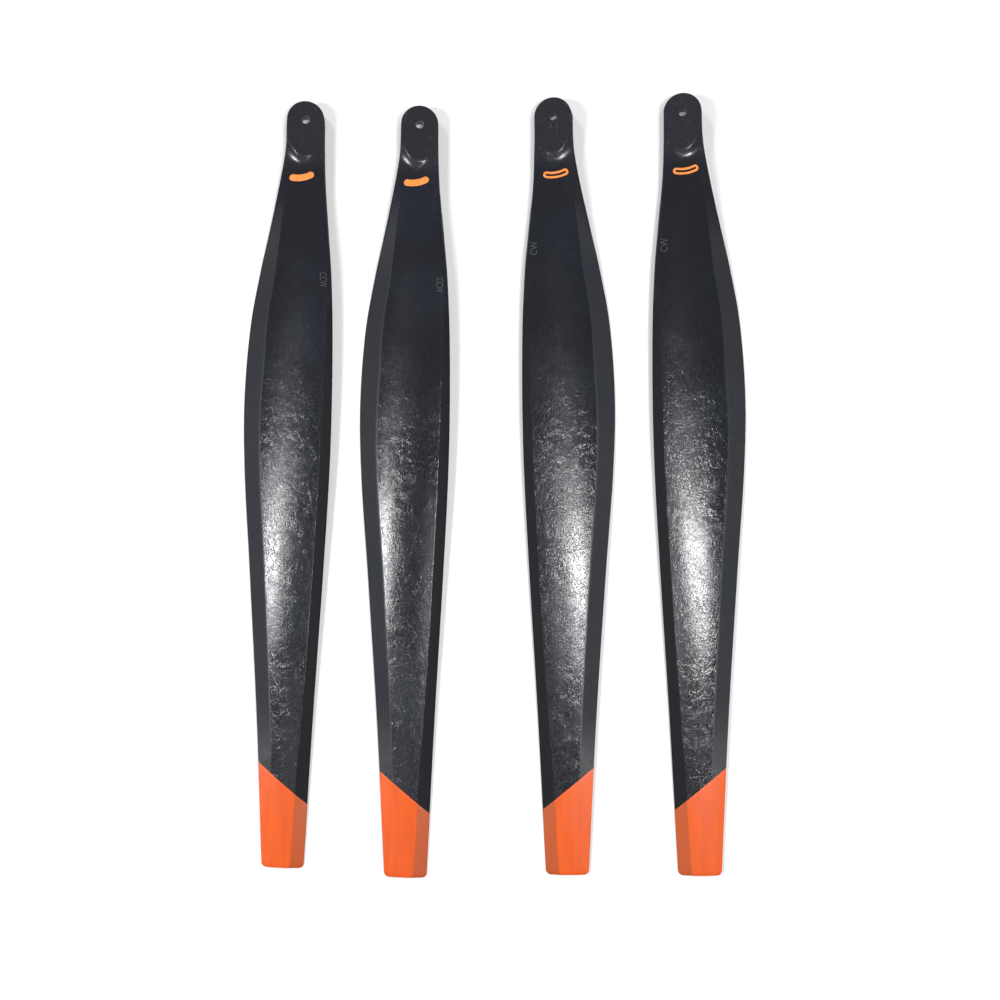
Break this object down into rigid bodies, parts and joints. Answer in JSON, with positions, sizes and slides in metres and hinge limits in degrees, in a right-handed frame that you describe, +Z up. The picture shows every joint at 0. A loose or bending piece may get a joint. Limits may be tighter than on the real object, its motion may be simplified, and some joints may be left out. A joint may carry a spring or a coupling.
{
  "type": "folding propeller blade set",
  "caption": "Loose blades of a folding drone propeller, in both turning directions: twisted aerofoils with bored clamp roots, coloured tips and direction marks.",
  "frame": {"origin": "centre of the footprint, on the flat surface that the blades lie on", "axes": "+Z up, +Y along the blades from tips to roots, +X to the right when seen from above with the roots up"},
  "size_m": [0.4002, 0.6177, 0.0161],
  "materials": {
    "black_moulding": "black fibre-filled moulding, gloss to satin, with fine swirls",
    "orange_tip": "glossy orange paint over the moulding",
    "orange_mark": "satin light orange paint in a shallow raised mark"
  },
  "bodies": {
    "blade_ccw_1": {"ccw_blade_1": "black_moulding", "ccw_tip_1": "orange_tip", "ccw_mark_1": "orange_mark"},
    "blade_ccw_2": {"ccw_blade_2": "black_moulding", "ccw_tip_2": "orange_tip", "ccw_mark_2": "orange_mark"},
    "blade_cw_1": {"cw_blade_1": "black_moulding", "cw_tip_1": "orange_tip", "cw_mark_1": "orange_mark"},
    "blade_cw_2": {"cw_blade_2": "black_moulding", "cw_tip_2": "orange_tip", "cw_mark_2": "orange_mark"}
  },
  "joints": [
    {"name": "lift_ccw_2", "type": "slide", "parent": "blade_ccw_1", "child": "blade_ccw_2", "axis": [0, 0, 1], "range_m": [0, 0.12]},
    {"name": "lift_cw_1", "type": "slide", "parent": "blade_ccw_1", "child": "blade_cw_1", "axis": [0, 0, 1], "range_m": [0, 0.12]},
    {"name": "lift_cw_2", "type": "slide", "parent": "blade_ccw_1", "child": "blade_cw_2", "axis": [0, 0, 1], "range_m": [0, 0.12]}
  ]
}
